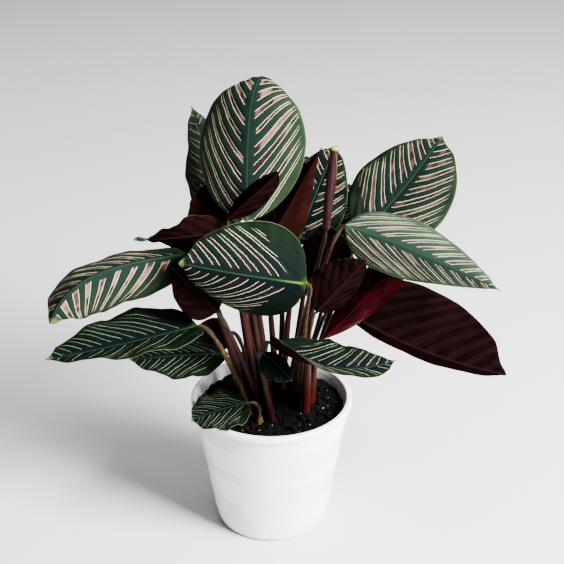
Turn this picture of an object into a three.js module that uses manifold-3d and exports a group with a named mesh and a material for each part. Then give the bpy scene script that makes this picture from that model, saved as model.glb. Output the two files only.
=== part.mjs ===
// Potted calathea: a glazed tapered pot filled with soil, and a clump of striped leaves.
// Each leaf is a waved blade at the end of its own stem, and the stems stand in holes in the soil.
// Millimetres, +Z up. The origin is on the table, under the middle of the pot.
// -Y is the front, from where the plant is seen, and +X is to the right.
import * as THREE from 'three';
import { mergeVertices } from 'three/addons/utils/BufferGeometryUtils.js';
import Module from 'manifold-3d';

// Pot
const POT_HEIGHT = 120;
const FOOT_RADIUS = 48;
const FOOT_CORNER = 5;
const FOOT_LINE = 7;
const FOOT_LINE_DEPTH = 0.5;
const WALL_TOP_RADIUS = 66.5;
const WALL = 4;
const FLOOR = 5;
const FLOOR_CORNER = 3;
const LIP_RADIUS = 69;
const LIP_HEIGHT = 6;
const LIP_WALL = 5;
const LIP_CHAMFER = 0.8;
const LIP_ROUND = 2.2;
const LIP_INNER_ROUND = 1.1;
const POT_SIDES = 48;

// Soil
const SOIL_TOP = 110;
const SOIL_EDGE = 3;
const SOIL_RINGS = 7;
const SOIL_LUMP = 30;
const SOIL_LUMP_HEIGHT = 1.1;
const SOIL_CRUMB = 13;
const SOIL_CRUMB_HEIGHT = 0.6;

// What is kept between pieces that touch
const GAP = 0.35;
const HOLE_GAP = 0.55;
const JOINT_GAP = 0.8;

// Stems
const STEM_FOOT_RADIUS = 3;
const STEM_TOP_RADIUS = 1.7;
const SHEATH_THINS = 0.25;
const SHEATH_ENDS = 0.9;
const STEM_DEPTH = 18;
const STEM_SIDES = 6;
const STEM_STEP = 19;
const FEWEST_STEM_STEPS = 3;

// Leaf blades
const BLADE_THICKNESS = 1.0;
const MIDRIB_DEPTH = 1.1;
const END_HALF_WIDTH = 1.0;
const ROLLS_FROM = 6;
const MIDRIB_STEPS = 96;
const BLADE_ROW = 11;
const FEWEST_ROWS = 7;
const MOST_ROWS = 12;
const ACROSS = [-1, -0.68, -0.34, 0, 0.34, 0.68, 1];
const RIPPLE_FALLOFF = 2.2;
const ROLLED_STEPS = 10;
const ROLLED_SIDES = 8;
const RIGHT_RIPPLE_SHIFT = 1.9;

// What an ordinary leaf has. Angles are in degrees.
// heading: direction of the midrib, turned from +X. pitch: its rise at the base.
// droop: how far it bends down, late where bend is high. sweep: turn of the heading along it.
// roll: lift of the left half, twist: change of roll along the blade.
// fold: lift of each half at the midrib, curl: how far the half bends on from there.
// rightFold, rightCurl: the same for the right half where it differs.
// unfold: share of the fold lost by the tip.
// wave: height of the ripples of the margin, waves: their number. base, tip: how slim the ends are.
// rolled: a new leaf that is still a spear, with width its thickness.
// knee: reach of the stem's bend under the blade.
// rise, lean: how far and how slanted the stem first goes up.
// stout: thickness of its sheathed foot beside an ordinary one's.
const ORDINARY = {
  length: 110, width: 80, heading: 0, pitch: 0, droop: 30, bend: 1, sweep: 0, roll: 0, twist: 0,
  fold: 12, curl: -20, unfold: 0, wave: 2, waves: 3, base: 0.42, tip: 0.78,
  knee: 13, rise: 0.38, lean: 0.6, stout: 1, colour: 0x24432f,
};

// The leaves as they stand. root: where the stem leaves the soil. joint: where the stem meets the blade.
const LEAVES = [
  { name: 'top', root: [-1, 6], joint: [-20, 19, 273], length: 134, width: 95, heading: 87, pitch: 80,
    droop: 128, bend: 5.7, roll: 6, fold: -9, curl: -32, wave: 1.5, base: 0.55, tip: 0.66,
    rightFold: -10, rightCurl: -15, sweep: -24, twist: 0, stout: 1.2 },
  { name: 'top_behind', root: [-6, 23], joint: [-39, 76, 233], length: 119, width: 66, heading: 153,
    pitch: 80, droop: 11, roll: -12, fold: 7, curl: -13, rightFold: 7, rightCurl: -12, base: 0.48,
    tip: 0.95, sweep: 1, twist: -5 },
  { name: 'front', root: [22, -3], joint: [28, -38, 244], length: 101, width: 95, heading: 187,
    pitch: 11, droop: -1, roll: -58, fold: -28, curl: -50, rightFold: -8, rightCurl: -15, tip: 0.64,
    wave: 0.8, rise: 0.66, lean: 0, knee: 8, base: 0.33, sweep: -9, twist: -8, stout: 1.25 },
  { name: 'left', root: [-18, -1], joint: [-68, -10, 257], length: 129, width: 76, heading: 201,
    pitch: 1, droop: 75, bend: 3.1, roll: -36, fold: -37, curl: -54, rightFold: -40, rightCurl: -12,
    base: 0.24, tip: 0.27, sweep: 15, twist: 5, stout: 1.2 },
  { name: 'left_low', root: [-12, -15], joint: [-60, -18, 196], length: 127, width: 81, heading: 207,
    pitch: -2, droop: -4, roll: -15, fold: 30, curl: -3, rightFold: 1, rightCurl: -14, wave: 2.5,
    base: 0.36, tip: 0.76, sweep: -2, twist: -1 },
  { name: 'left_lowest', root: [-20, 8], joint: [-37, 12, 153], length: 85, width: 53, heading: 192,
    pitch: 6, droop: 4, roll: -12, fold: 3, curl: -13, rightFold: -3, rightCurl: -15, base: 0.72,
    tip: 0.92, sweep: 5, twist: -6 },
  { name: 'left_inner', root: [-15, 24], joint: [-38, 50, 153], length: 36, width: 32, heading: 180,
    pitch: -14, droop: 6, roll: 118, fold: 8, curl: -10 },
  { name: 'right_low', root: [-3, -19], joint: [0, -29, 186], length: 110, width: 66, heading: -46,
    sweep: 72, pitch: -14, droop: -22, roll: 11, twist: 30, fold: -7, curl: -14, rightFold: 84,
    rightCurl: -15, base: 0.44, tip: 0.92, unfold: 0.58 },
  { name: 'right_top', root: [27, 10], joint: [76, 42, 250], length: 111, width: 91, heading: 24,
    pitch: 40, droop: 1, roll: 46, fold: -10, curl: -29, rightFold: 20, rightCurl: -6, tip: 0.74,
    base: 0.52, sweep: 23, twist: -11 },
  { name: 'right', root: [14, 4], joint: [60, 8, 273], length: 135, width: 58, heading: -26, sweep: 8,
    pitch: 13, droop: 33, bend: 0.2, roll: 42, fold: -11, curl: -24, rightFold: -26, rightCurl: -24,
    base: 0.48, tip: 1.06, twist: 24, stout: 1.1 },
  { name: 'right_back_turned', root: [20, 19], joint: [57, 34, 187], length: 154, width: 103,
    heading: -23, pitch: -26, droop: -20, roll: -109, fold: 66, curl: 4, rightFold: -1, rightCurl: 8,
    base: 0.43, tip: 0.56, sweep: 11, twist: 2 },
  { name: 'half_open', root: [32, 1], joint: [45, 6, 172], length: 96, width: 62, heading: 4, pitch: 49,
    droop: 0, roll: -115, fold: 10, curl: 95, base: 0.75, tip: 0.5, colour: 0x5a1724, stout: 1.2 },
  { name: 'spear', root: [12, 13], joint: [45, 24, 263], length: 72, width: 8.8, heading: 18, pitch: 85,
    droop: 0, base: 0.16, tip: 0.14, rolled: true, colour: 0x4a2328 },
  { name: 'heart', root: [-10, 2], joint: [-34, 8, 280], length: 63, width: 36, heading: -18, pitch: 46,
    droop: 0, roll: -95, fold: 60, curl: -10, rightFold: 65, rightCurl: -10, knee: 6, stout: 1.5 },
  { name: 'centre', root: [5, 13], joint: [-1, 38, 247], length: 91, width: 66, heading: 8, pitch: 62,
    droop: 0, roll: -103, fold: 52, curl: -10, rightFold: 50, rightCurl: -10, base: 0.2, tip: 1.3 },
  { name: 'centre_behind', root: [8, 21], joint: [24, 63, 238], length: 86, width: 58, heading: 30,
    pitch: 68, droop: 5, roll: 53, fold: 5, curl: -15 },
  { name: 'shoulder', root: [-10, 12], joint: [-34, 42, 264], length: 37, width: 46, heading: 172,
    pitch: 25, droop: 0, roll: 105, fold: 10, curl: -10, tip: 0.4 },
  { name: 'left_upper', root: [-2, -4], joint: [-36, 12, 266], length: 76, width: 40, heading: 194,
    pitch: -2, droop: -6, roll: 114, twist: -105, fold: 10, curl: -10, tip: 0.4 },
  { name: 'under_front', root: [-6, -11], joint: [-44, -18, 209], length: 54, width: 38, heading: 190,
    pitch: 50, droop: 0, roll: 105, fold: 8, curl: -10 },
  { name: 'right_inner', root: [28, -11], joint: [37, -14, 207], length: 60, width: 48, heading: 6,
    pitch: 48, droop: 0, roll: -112, fold: 60, curl: -10, stout: 1.3, lean: 1, rightFold: 8 },
  { name: 'crown_small', root: [3, -26], joint: [-6, -38, 182], length: 34, width: 30, heading: -41,
    pitch: -15, droop: 20, roll: 20, fold: -20, curl: -30 },
  { name: 'rim', root: [-9, -26], joint: [-19, -33, 132], length: 50, width: 51, heading: 201, pitch: 0,
    droop: 12, roll: -5, fold: 3, curl: -6, tip: 0.56, rightFold: 2, rightCurl: -6, base: 0.43, sweep: 3,
    twist: -3 },
  { name: 'back_top', root: [8, 29], joint: [11, 66, 228], length: 126, width: 68, heading: 80,
    pitch: 52, droop: 62, fold: 6, curl: -14 },
  { name: 'back_right', root: [16, 27], joint: [37, 67, 230], length: 112, width: 70, heading: 56,
    pitch: 38, droop: 55, fold: 6, curl: -14 },
  { name: 'back_low', root: [25, 28], joint: [47, 50, 196], length: 66, width: 50, heading: -94,
    pitch: 83, droop: 0, fold: 6, curl: -14 },
].map((leaf) => ({ ...ORDINARY, ...leaf }));

const wasm = await Module();
wasm.setup();
const rad = THREE.MathUtils.degToRad;

// The same geometry with only its places and faces, shared corners merged.
function closed(geometry) {
  const bare = new THREE.BufferGeometry();
  bare.setAttribute('position', geometry.getAttribute('position'));
  if (geometry.index) bare.setIndex(geometry.index);
  return mergeVertices(bare, 1e-4);
}

function toSolid(geometry) {
  return new wasm.Manifold(new wasm.Mesh({
    numProp: 3,
    vertProperties: new Float32Array(geometry.attributes.position.array),
    triVerts: new Uint32Array(geometry.index.array),
  }));
}

function fromSolid(solid) {
  const mesh = solid.getMesh();
  const geometry = new THREE.BufferGeometry();
  geometry.setAttribute('position', new THREE.BufferAttribute(mesh.vertProperties, 3));
  geometry.setIndex(new THREE.BufferAttribute(mesh.triVerts, 1));
  return geometry;
}

// Points on a round edge, from one angle to the other.
function arc(centreR, centreZ, radius, from, to, steps) {
  return Array.from({ length: steps + 1 }, (_, i) => {
    const angle = rad(from + ((to - from) * i) / steps);
    return new THREE.Vector2(centreR + radius * Math.cos(angle), centreZ + radius * Math.sin(angle));
  });
}

// A body of revolution about the upright axis.
function turned(profile) {
  return closed(new THREE.LatheGeometry(profile, POT_SIDES).rotateX(Math.PI / 2));
}

// Outer and inner radius of the tapered wall at a height.
function wallRadius(z) {
  return THREE.MathUtils.mapLinear(z, 0, POT_HEIGHT - LIP_HEIGHT, FOOT_RADIUS, WALL_TOP_RADIUS);
}

function innerRadius(z) {
  return wallRadius(z) - WALL;
}

function potGeometry() {
  const at = (radius, z) => new THREE.Vector2(radius, z);
  const lipBottom = POT_HEIGHT - LIP_HEIGHT;
  const lipInner = LIP_RADIUS - LIP_WALL;
  const floorEdge = innerRadius(FLOOR + FLOOR_CORNER);
  return turned([
    at(0, 0),
    ...arc(wallRadius(FOOT_CORNER) - FOOT_CORNER, FOOT_CORNER, FOOT_CORNER, -90, 0, 3),
    at(wallRadius(FOOT_LINE) - FOOT_LINE_DEPTH, FOOT_LINE),
    at(wallRadius(FOOT_LINE + 1), FOOT_LINE + 1),
    at(wallRadius(lipBottom), lipBottom),
    at(LIP_RADIUS - LIP_CHAMFER, lipBottom),
    at(LIP_RADIUS, lipBottom + LIP_CHAMFER),
    ...arc(LIP_RADIUS - LIP_ROUND, POT_HEIGHT - LIP_ROUND, LIP_ROUND, 0, 90, 3),
    ...arc(lipInner + LIP_INNER_ROUND, POT_HEIGHT - LIP_INNER_ROUND, LIP_INNER_ROUND, 90, 180, 2),
    at(innerRadius(SOIL_TOP), SOIL_TOP),
    at(floorEdge, FLOOR + FLOOR_CORNER),
    at(floorEdge - FLOOR_CORNER, FLOOR),
    at(0, FLOOR),
  ]);
}

// Height of the soil's uneven top: broad lumps with smaller ones over them.
function soilHeight(x, y) {
  const turn = 2 * Math.PI;
  const lumps = Math.sin((turn * x) / SOIL_LUMP) * Math.cos((turn * y) / SOIL_LUMP);
  const crumbs = Math.sin((turn * (x + y)) / SOIL_CRUMB);
  return SOIL_TOP + SOIL_LUMP_HEIGHT * lumps + SOIL_CRUMB_HEIGHT * crumbs;
}

// Soil: a plug that fills the pot, before the stems' holes.
function soilPlug() {
  const at = (radius, z) => new THREE.Vector2(radius, z);
  const edge = innerRadius(SOIL_TOP - SOIL_LUMP_HEIGHT - SOIL_CRUMB_HEIGHT) - GAP;
  const floorEdge = innerRadius(FLOOR + FLOOR_CORNER) - GAP;
  const rings = Array.from({ length: SOIL_RINGS }, (_, i) => at(edge * (1 - i / SOIL_RINGS), SOIL_TOP));
  const geometry = turned([
    at(0, FLOOR + GAP),
    at(floorEdge - FLOOR_CORNER, FLOOR + GAP),
    at(floorEdge, FLOOR + FLOOR_CORNER + GAP),
    at(innerRadius(SOIL_TOP - SOIL_EDGE) - GAP, SOIL_TOP - SOIL_EDGE),
    ...rings,
    at(0, SOIL_TOP),
  ]);
  const place = geometry.attributes.position;
  for (let i = 0; i < place.count; i += 1) {
    if (place.getZ(i) < SOIL_TOP) continue;
    place.setZ(i, soilHeight(place.getX(i), place.getY(i)));
  }
  return toSolid(geometry);
}

// Unit vector of a pitch and a heading.
function direction(pitch, heading) {
  const p = rad(pitch);
  const h = rad(heading);
  return new THREE.Vector3(Math.cos(p) * Math.cos(h), Math.cos(p) * Math.sin(h), Math.sin(p));
}

// The stem's line: up out of the soil, over towards the blade, and through a knee into the midrib's line.
function stemPath(leaf, depth) {
  const foot = new THREE.Vector3(...leaf.root, SOIL_TOP - depth);
  const along = direction(leaf.pitch, leaf.heading);
  const end = new THREE.Vector3(...leaf.joint).addScaledVector(along, -JOINT_GAP);
  const reach = end.distanceTo(foot);
  const chord = end.clone().sub(foot).normalize();
  const rise = new THREE.Vector3(leaf.lean * chord.x, leaf.lean * chord.y, 1).setLength(leaf.rise * reach);
  const knee = end.clone().addScaledVector(along, -leaf.knee);
  return new THREE.CubicBezierCurve3(foot, foot.clone().add(rise), knee, end);
}

// A tube along a path. radiusAt gives its radius from 0 at the path's start to 1 at its end.
function tube(path, steps, sides, radiusAt) {
  const corners = Array.from({ length: sides }, (_, k) => {
    const angle = (2 * Math.PI * k) / sides;
    return new THREE.Vector2(Math.cos(angle), Math.sin(angle));
  });
  const geometry = new THREE.ExtrudeGeometry(new THREE.Shape(corners), {
    steps, extrudePath: path, bevelEnabled: false,
  });
  const centres = path.getSpacedPoints(steps);
  const place = geometry.attributes.position;
  const corner = new THREE.Vector3();
  for (let i = 0; i < place.count; i += 1) {
    corner.fromBufferAttribute(place, i);
    const far = centres.map((centre) => centre.distanceTo(corner));
    const nearest = far.indexOf(Math.min(...far));
    corner.sub(centres[nearest]).multiplyScalar(radiusAt(nearest / steps)).add(centres[nearest]);
    place.setXYZ(i, corner.x, corner.y, corner.z);
  }
  return closed(geometry);
}

// The stem, tapering evenly from its foot to the blade.
function stemTube(leaf, depth, clearance) {
  const path = stemPath(leaf, depth);
  const steps = Math.max(FEWEST_STEM_STEPS, Math.round(path.getLength() / STEM_STEP));
  const footRadius = leaf.stout * STEM_FOOT_RADIUS;
  const slender = (u) => THREE.MathUtils.smoothstep(u, SHEATH_THINS, SHEATH_ENDS);
  const radiusAt = (u) => THREE.MathUtils.lerp(footRadius, STEM_TOP_RADIUS, slender(u)) + clearance;
  return tube(path, steps, STEM_SIDES, radiusAt);
}

function stemGeometry(leaf) {
  return stemTube(leaf, STEM_DEPTH, 0);
}

// What is cut from the soil for a stem: the same tube, wider and deeper by the gap.
function stemHole(leaf) {
  return toSolid(stemTube(leaf, STEM_DEPTH + GAP, HOLE_GAP));
}

function soilGeometry() {
  return fromSolid(LEAVES.reduce((soil, leaf) => soil.subtract(stemHole(leaf)), soilPlug()));
}

// Half the blade's width at t, from 0 at its base to 1 at its tip.
function halfWidth(leaf, t) {
  const widest = leaf.base / (leaf.base + leaf.tip);
  const peak = widest ** leaf.base * (1 - widest) ** leaf.tip;
  const width = (leaf.width / 2) * t ** leaf.base * (1 - t) ** leaf.tip / peak;
  return Math.max(width, END_HALF_WIDTH);
}

// Points along the midrib, summed from its direction in small steps.
function midribPoints(leaf) {
  const points = [new THREE.Vector3(...leaf.joint)];
  const heading = (u) => direction(leaf.pitch - leaf.droop * u ** leaf.bend, leaf.heading + leaf.sweep * u);
  for (let i = 0; i < MIDRIB_STEPS; i += 1) {
    const step = heading((i + 0.5) / MIDRIB_STEPS).multiplyScalar(leaf.length / MIDRIB_STEPS);
    points.push(points[i].clone().add(step));
  }
  return points;
}

// One row of the blade's middle surface, from the right margin to the left.
function bladeRow(leaf, points, t) {
  const along = direction(leaf.pitch - leaf.droop * t ** leaf.bend, leaf.heading + leaf.sweep * t);
  const level = direction(0, leaf.heading + leaf.sweep * t + 90);
  const up = along.clone().cross(level);
  const roll = rad(leaf.roll + leaf.twist * t);
  const side = level.clone().multiplyScalar(Math.cos(roll)).addScaledVector(up, Math.sin(roll));
  const face = up.clone().multiplyScalar(Math.cos(roll)).addScaledVector(level, -Math.sin(roll));
  const step = Math.min(Math.floor(t * MIDRIB_STEPS), MIDRIB_STEPS - 1);
  const middle = points[step].clone().lerp(points[step + 1], t * MIDRIB_STEPS - step);
  const width = halfWidth(leaf, t);
  return ACROSS.map((v) => {
    const left = v >= 0;
    const across = Math.abs(v);
    const fold = rad(left ? leaf.fold : leaf.rightFold ?? leaf.fold) * (1 - leaf.unfold * t);
    const curl = rad(left ? leaf.curl : leaf.rightCurl ?? leaf.curl) * Math.min(1, width / ROLLS_FROM);
    const out = (Math.sin(fold + curl * across) - Math.sin(fold)) / curl;
    const rise = (Math.cos(fold) - Math.cos(fold + curl * across)) / curl;
    const phase = 2 * Math.PI * leaf.waves * t + (left ? 0 : RIGHT_RIPPLE_SHIFT);
    const ripple = leaf.wave * Math.sqrt(4 * t * (1 - t)) * across ** RIPPLE_FALLOFF * Math.sin(phase);
    return middle.clone()
      .addScaledVector(side, Math.sign(v) * out * width)
      .addScaledVector(face, rise * width + ripple);
  });
}

// The way the blade's upper face looks at each point of the grid.
function gridNormals(grid) {
  const last = grid.length - 1;
  const edge = ACROSS.length - 1;
  return grid.map((row, i) => row.map((_, j) => {
    const along = grid[Math.min(i + 1, last)][j].clone().sub(grid[Math.max(i - 1, 0)][j]);
    const across = row[Math.min(j + 1, edge)].clone().sub(row[Math.max(j - 1, 0)]);
    return along.cross(across).normalize();
  }));
}

// A waved blade of even thickness, with the midrib standing out below. Both faces are split alike.
function bladeGeometry(leaf) {
  const count = THREE.MathUtils.clamp(Math.round(leaf.length / BLADE_ROW), FEWEST_ROWS, MOST_ROWS);
  const points = midribPoints(leaf);
  const stations = Array.from({ length: count + 1 }, (_, i) => (1 - Math.cos((Math.PI * i) / count)) / 2);
  const grid = stations.map((t) => bladeRow(leaf, points, t));
  const normals = gridNormals(grid);
  const columns = ACROSS.length;
  const middle = (columns - 1) / 2;
  const upper = [];
  const lower = [];
  grid.forEach((row, i) => row.forEach((point, j) => {
    const below = BLADE_THICKNESS / 2 + (j === middle ? MIDRIB_DEPTH * (1 - stations[i]) : 0);
    upper.push(...point.clone().addScaledVector(normals[i][j], BLADE_THICKNESS / 2).toArray());
    lower.push(...point.clone().addScaledVector(normals[i][j], -below).toArray());
  }));
  const faces = [];
  const under = grid.length * columns;
  for (let i = 0; i < count; i += 1) {
    for (let j = 0; j < columns - 1; j += 1) {
      const a = i * columns + j;
      const b = a + columns;
      faces.push(a, b, a + 1, b, b + 1, a + 1);
      faces.push(under + a, under + a + 1, under + b, under + b, under + a + 1, under + b + 1);
    }
  }
  const rim = bladeOutline(grid.length, columns);
  rim.forEach((a, k) => {
    const b = rim[(k + 1) % rim.length];
    faces.push(a, b, under + a, b, under + b, under + a);
  });
  const geometry = new THREE.BufferGeometry();
  geometry.setAttribute('position', new THREE.Float32BufferAttribute([...upper, ...lower], 3));
  geometry.setIndex(faces);
  return geometry;
}

// A new leaf still rolled up tight: a round spear, its width the roll's.
function rolledGeometry(leaf) {
  const foot = new THREE.Vector3(...leaf.joint);
  const tip = foot.clone().addScaledVector(direction(leaf.pitch, leaf.heading), leaf.length);
  return tube(new THREE.LineCurve3(foot, tip), ROLLED_STEPS, ROLLED_SIDES, (u) => halfWidth(leaf, u));
}

// The grid's border, in the order that turns the wall outwards.
function bladeOutline(rows, columns) {
  const outline = [];
  for (let j = 0; j < columns - 1; j += 1) outline.push(j);
  for (let i = 0; i < rows - 1; i += 1) outline.push(i * columns + columns - 1);
  for (let j = columns - 1; j > 0; j -= 1) outline.push((rows - 1) * columns + j);
  for (let i = rows - 1; i > 0; i -= 1) outline.push(i * columns);
  return outline;
}

function finish(colour, roughness) {
  return new THREE.MeshStandardMaterial({ color: colour, roughness, metalness: 0 });
}

function piece(name, geometry, material) {
  const mesh = new THREE.Mesh(geometry, material);
  mesh.name = name;
  return mesh;
}

const plant = new THREE.Group();
plant.add(piece('pot', potGeometry(), finish(0xeceef0, 0.3)));
plant.add(piece('soil', soilGeometry(), finish(0x1c1713, 0.95)));
for (const leaf of LEAVES) {
  const geometry = leaf.rolled ? rolledGeometry(leaf) : bladeGeometry(leaf);
  plant.add(piece(`leaf_${leaf.name}`, geometry, finish(leaf.colour, 0.45)));
  plant.add(piece(`stem_${leaf.name}`, stemGeometry(leaf), finish(0x5b2f26, 0.5)));
}

export default plant;
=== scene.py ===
# A potted calathea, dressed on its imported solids. Sizes are in millimetres, and put() makes metres of them.
import math

import bpy
import numpy as np
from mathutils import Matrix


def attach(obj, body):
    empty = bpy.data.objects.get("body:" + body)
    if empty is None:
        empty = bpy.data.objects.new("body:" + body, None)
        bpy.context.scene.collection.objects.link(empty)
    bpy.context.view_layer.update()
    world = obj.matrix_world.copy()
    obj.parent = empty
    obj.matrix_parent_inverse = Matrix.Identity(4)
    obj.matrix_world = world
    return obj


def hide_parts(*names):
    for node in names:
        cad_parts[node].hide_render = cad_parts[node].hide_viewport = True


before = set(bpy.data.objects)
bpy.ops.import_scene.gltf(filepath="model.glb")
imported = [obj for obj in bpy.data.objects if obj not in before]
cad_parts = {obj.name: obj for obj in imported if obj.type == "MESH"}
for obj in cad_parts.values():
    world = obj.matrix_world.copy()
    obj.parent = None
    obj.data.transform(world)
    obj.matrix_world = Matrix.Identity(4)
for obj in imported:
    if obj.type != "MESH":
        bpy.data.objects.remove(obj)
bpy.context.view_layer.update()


# ---------------------------------------------------------------- glazed pot
# A tapered plant pot of earthenware, thrown with faint rings in its wall and a rolled bead for a rim.
# It is dipped in a thick white satin glaze, which softens the rings and pools at the foot line.
POT_HEIGHT = 120
FOOT_RADIUS = 48
FOOT_CORNER = 5
FOOT_LINE = 7.5
FOOT_LINE_DEPTH = 0.5
FOOT_LINE_WIDTH = 0.55
WALL_TOP_RADIUS = 66.5
WALL = 4
FLOOR = 5
LIP_RADIUS = 69
LIP_HEIGHT = 6
LIP_INNER_RADIUS = 64
RING_PITCH = 2.3
RING_HEIGHT = 0.3
RING_BANDS = ((11, 39), (61, 73), (96, 114))
POT_SIDES = 192


def put(name, points, faces, materials, slots=0, smooth=True):
    """A mesh object at the origin, from points in millimetres and faces of point numbers."""
    mesh = bpy.data.meshes.new(name)
    mesh.from_pydata((np.asarray(points, float) / 1000).tolist(), [], [list(f) for f in faces])
    for material in materials:
        mesh.materials.append(material)
    count = len(mesh.polygons)
    mesh.polygons.foreach_set("material_index", np.broadcast_to(slots, count).astype(np.int32).copy())
    mesh.polygons.foreach_set("use_smooth", np.full(count, smooth))
    mesh.update()
    thing = bpy.data.objects.new(name, mesh)
    bpy.context.scene.collection.objects.link(thing)
    return thing


def carry(thing, values, name):
    """Put a vector of three numbers on each point of the piece, for its material to read."""
    layer = thing.data.attributes.new(name, "FLOAT_VECTOR", "POINT")
    layer.data.foreach_set("vector", np.asarray(values, np.float32).ravel())


def belongs(thing, slot, *nodes):
    """The piece moves with the plant and stands for the nodes. The slot is not used."""
    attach(thing, "root")
    if nodes:
        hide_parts(*nodes)


def sheet_faces(rows, columns, start=0, round_=False, flip=False):
    """Four-cornered faces of a grid: row by row, and back to the first column where it is round."""
    last = columns if round_ else columns - 1
    i, j = np.meshgrid(np.arange(rows - 1), np.arange(last), indexing="ij")
    a = start + i * columns + j
    b = start + (i + 1) * columns + j
    c = start + (i + 1) * columns + (j + 1) % columns
    d = start + i * columns + (j + 1) % columns
    faces = np.stack([a, b, c, d], -1).reshape(-1, 4)
    return faces[:, ::-1] if flip else faces


def bend(centre_r, centre_z, radius, start, end, steps):
    """Points on a round edge: centre plus radius times cosine and sine of the angle, in degrees."""
    angle = np.radians(np.linspace(start, end, steps))
    return np.stack([centre_r + radius * np.cos(angle), centre_z + radius * np.sin(angle)], 1)


def wall_radius(z):
    """Outer radius of the wall: a straight taper from the foot to under the lip."""
    return FOOT_RADIUS + (WALL_TOP_RADIUS - FOOT_RADIUS) * z / (POT_HEIGHT - LIP_HEIGHT)


def smooth(low, high, x):
    """0 below low and 1 above high, with a soft cubic rise between."""
    x = np.clip((x - low) / (high - low), 0, 1)
    return x * x * (3 - 2 * x)


def turned_wall(z):
    """Outer wall: the taper, plus an uneven sine that fades in and out at each band, less the foot line."""
    ring = sum(smooth(low - 2, low + 3, z) * smooth(high + 2, high - 3, z) for low, high in RING_BANDS)
    uneven = 0.10 * np.sin(z / 11.0) + 0.06 * np.sin(z / 4.3)
    rings = ring * (RING_HEIGHT * np.sin(2 * math.pi * z / RING_PITCH) + uneven)
    return wall_radius(z) + rings - FOOT_LINE_DEPTH * np.exp(-((z - FOOT_LINE) / FOOT_LINE_WIDTH) ** 2)


def round_body(profile, sides):
    """Turn a profile of radius and height about the upright axis. Its first and last points lie on it."""
    angle = np.linspace(0, 2 * math.pi, sides, endpoint=False)
    r, z = profile[1:-1, 0][:, None], profile[1:-1, 1][:, None]
    grid = np.stack([r * np.cos(angle), r * np.sin(angle), z + 0 * angle], -1).reshape(-1, 3)
    points = np.concatenate([grid, [[0, 0, profile[0, 1]], [0, 0, profile[-1, 1]]]])
    rows = len(profile) - 2
    faces = sheet_faces(rows, sides, round_=True, flip=True).tolist()
    ring = np.arange(sides)
    after = (ring + 1) % sides
    first, last = rows * sides, rows * sides + 1
    faces += np.stack([np.full(sides, first), after, ring], 1).tolist()
    top = (rows - 1) * sides
    faces += np.stack([np.full(sides, last), top + ring, top + after], 1).tolist()
    return points, faces


class Finish:
    """A material written down node by node: each call adds one node and gives back its output."""

    def __init__(self, name):
        self.material = bpy.data.materials.new(name)
        self.material.use_nodes = True
        self.tree = self.material.node_tree
        self.shader = self.tree.nodes["Principled BSDF"]

    def feed(self, socket, value):
        """Link an output into the socket, or set the number or colour on it."""
        if isinstance(value, bpy.types.NodeSocket):
            self.tree.links.new(value, socket)
        else:
            socket.default_value = value

    def node(self, kind, inputs, **settings):
        made = self.tree.nodes.new(kind)
        for key, value in settings.items():
            setattr(made, key, value)
        for key, value in inputs.items():
            self.feed(made.inputs[key], value)
        return made

    def sums(self, operation, *values, clamp=False):
        """One sum on up to three numbers."""
        inputs = dict(enumerate(values))
        return self.node("ShaderNodeMath", inputs, operation=operation, use_clamp=clamp).outputs[0]

    def step(self, value, low, high):
        """0 where the value is at low and 1 where it is at high, smooth between."""
        inputs = {"Value": value, "From Min": low, "From Max": high}
        return self.node("ShaderNodeMapRange", inputs, interpolation_type="SMOOTHSTEP").outputs[0]

    def blend(self, share, first, second):
        """Colour that goes from the first to the second with the share."""
        made = self.node("ShaderNodeMix", {0: share, 6: first, 7: second}, data_type="RGBA")
        return made.outputs[2]

    def cloud(self, vector, scale, detail=2.0, rough=0.5):
        """Smooth random values around 0.5, with so many swells to the metre."""
        inputs = {"Vector": vector, "Scale": scale, "Detail": detail, "Roughness": rough}
        return self.node("ShaderNodeTexNoise", inputs).outputs["Fac"]

    def place(self):
        """Where the point is on the piece, in metres."""
        return self.node("ShaderNodeTexCoord", {}).outputs["Object"]

    def stretched(self, vector, scale):
        return self.node("ShaderNodeMapping", {"Vector": vector, "Scale": scale}).outputs[0]

    def carried(self, name):
        """The three numbers that the mesh carries under a name."""
        vector = self.node("ShaderNodeAttribute", {}, attribute_name=name).outputs["Vector"]
        return self.node("ShaderNodeSeparateXYZ", {0: vector}).outputs

    def relief(self, height, depth, normal=None):
        """Small relief: the height times so many metres."""
        inputs = {"Height": height, "Distance": depth, "Strength": 1.0}
        if normal is not None:
            inputs["Normal"] = normal
        return self.node("ShaderNodeBump", inputs).outputs[0]

    def give(self, **sockets):
        """Feed the shader's own sockets, named with _ for a space."""
        for key, value in sockets.items():
            self.feed(self.shader.inputs[key.replace("_", " ")], value)
        return self.material


def paint(red, green, blue):
    """A colour chosen as it looks on a screen, 0 to 255, made linear."""
    share = np.array([red, green, blue]) / 255
    linear = np.where(share <= 0.04045, share / 12.92, ((share + 0.055) / 1.055) ** 2.4)
    return (*linear.tolist(), 1.0)


def white_glaze():
    """Thick white glaze: faint cloudiness, painted shade low down where the pot stands on the floor, and a
    fine orange-peel skin.
    """
    f = Finish("white_glaze")
    where = f.place()
    cloudy = f.cloud(where, 18, 3)
    skin = f.cloud(where, 420, 2)
    body = f.blend(f.step(cloudy, 0.35, 0.7), paint(238, 239, 242), paint(230, 232, 236))
    height = f.node("ShaderNodeSeparateXYZ", {0: where}).outputs[2]
    # Painted shade: the glaze is greyed over its lowest 12 mm, where the pot meets the floor.
    low = f.sums("MULTIPLY", f.step(height, 0.012, 0.0), 0.3)
    colour = f.blend(low, body, paint(200, 198, 196))
    rough = f.sums("MULTIPLY_ADD", cloudy, 0.12, 0.26)
    return f.give(Base_Color=colour, Roughness=rough, Normal=f.relief(skin, 0.00003),
                  Specular_IOR_Level=0.5, Coat_Weight=0.25, Coat_Roughness=0.18)


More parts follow.
